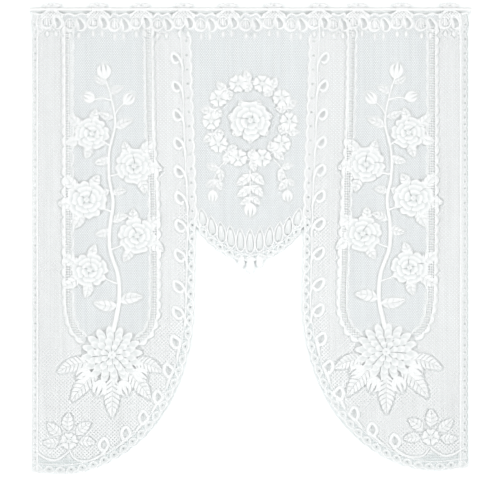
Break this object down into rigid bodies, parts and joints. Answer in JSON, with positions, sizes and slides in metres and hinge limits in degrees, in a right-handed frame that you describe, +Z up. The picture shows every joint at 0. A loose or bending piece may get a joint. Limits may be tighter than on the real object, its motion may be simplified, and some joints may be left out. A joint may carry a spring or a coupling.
{
  "type": "lace curtain on a rod",
  "caption": "Knitted lace curtain with two long round-cornered side panels and a short middle drop, hung by its woven tabs on a thin straight rod.",
  "frame": {"origin": "middle of the rod, on its axis", "axes": "+X along the rod, to the right as seen from the room; -Y towards the room, +Y towards the wall; +Z up"},
  "size_m": [1.512, 0.017, 1.6141],
  "materials": {
    "lace": "white polyester lace, raschel knitted, matt, open net ground with dense motifs",
    "rod": "white enamel on thin steel tube, semi-gloss"
  },
  "bodies": {
    "root": {"lace_curtain": "lace", "rod": "rod"}
  },
  "joints": []
}
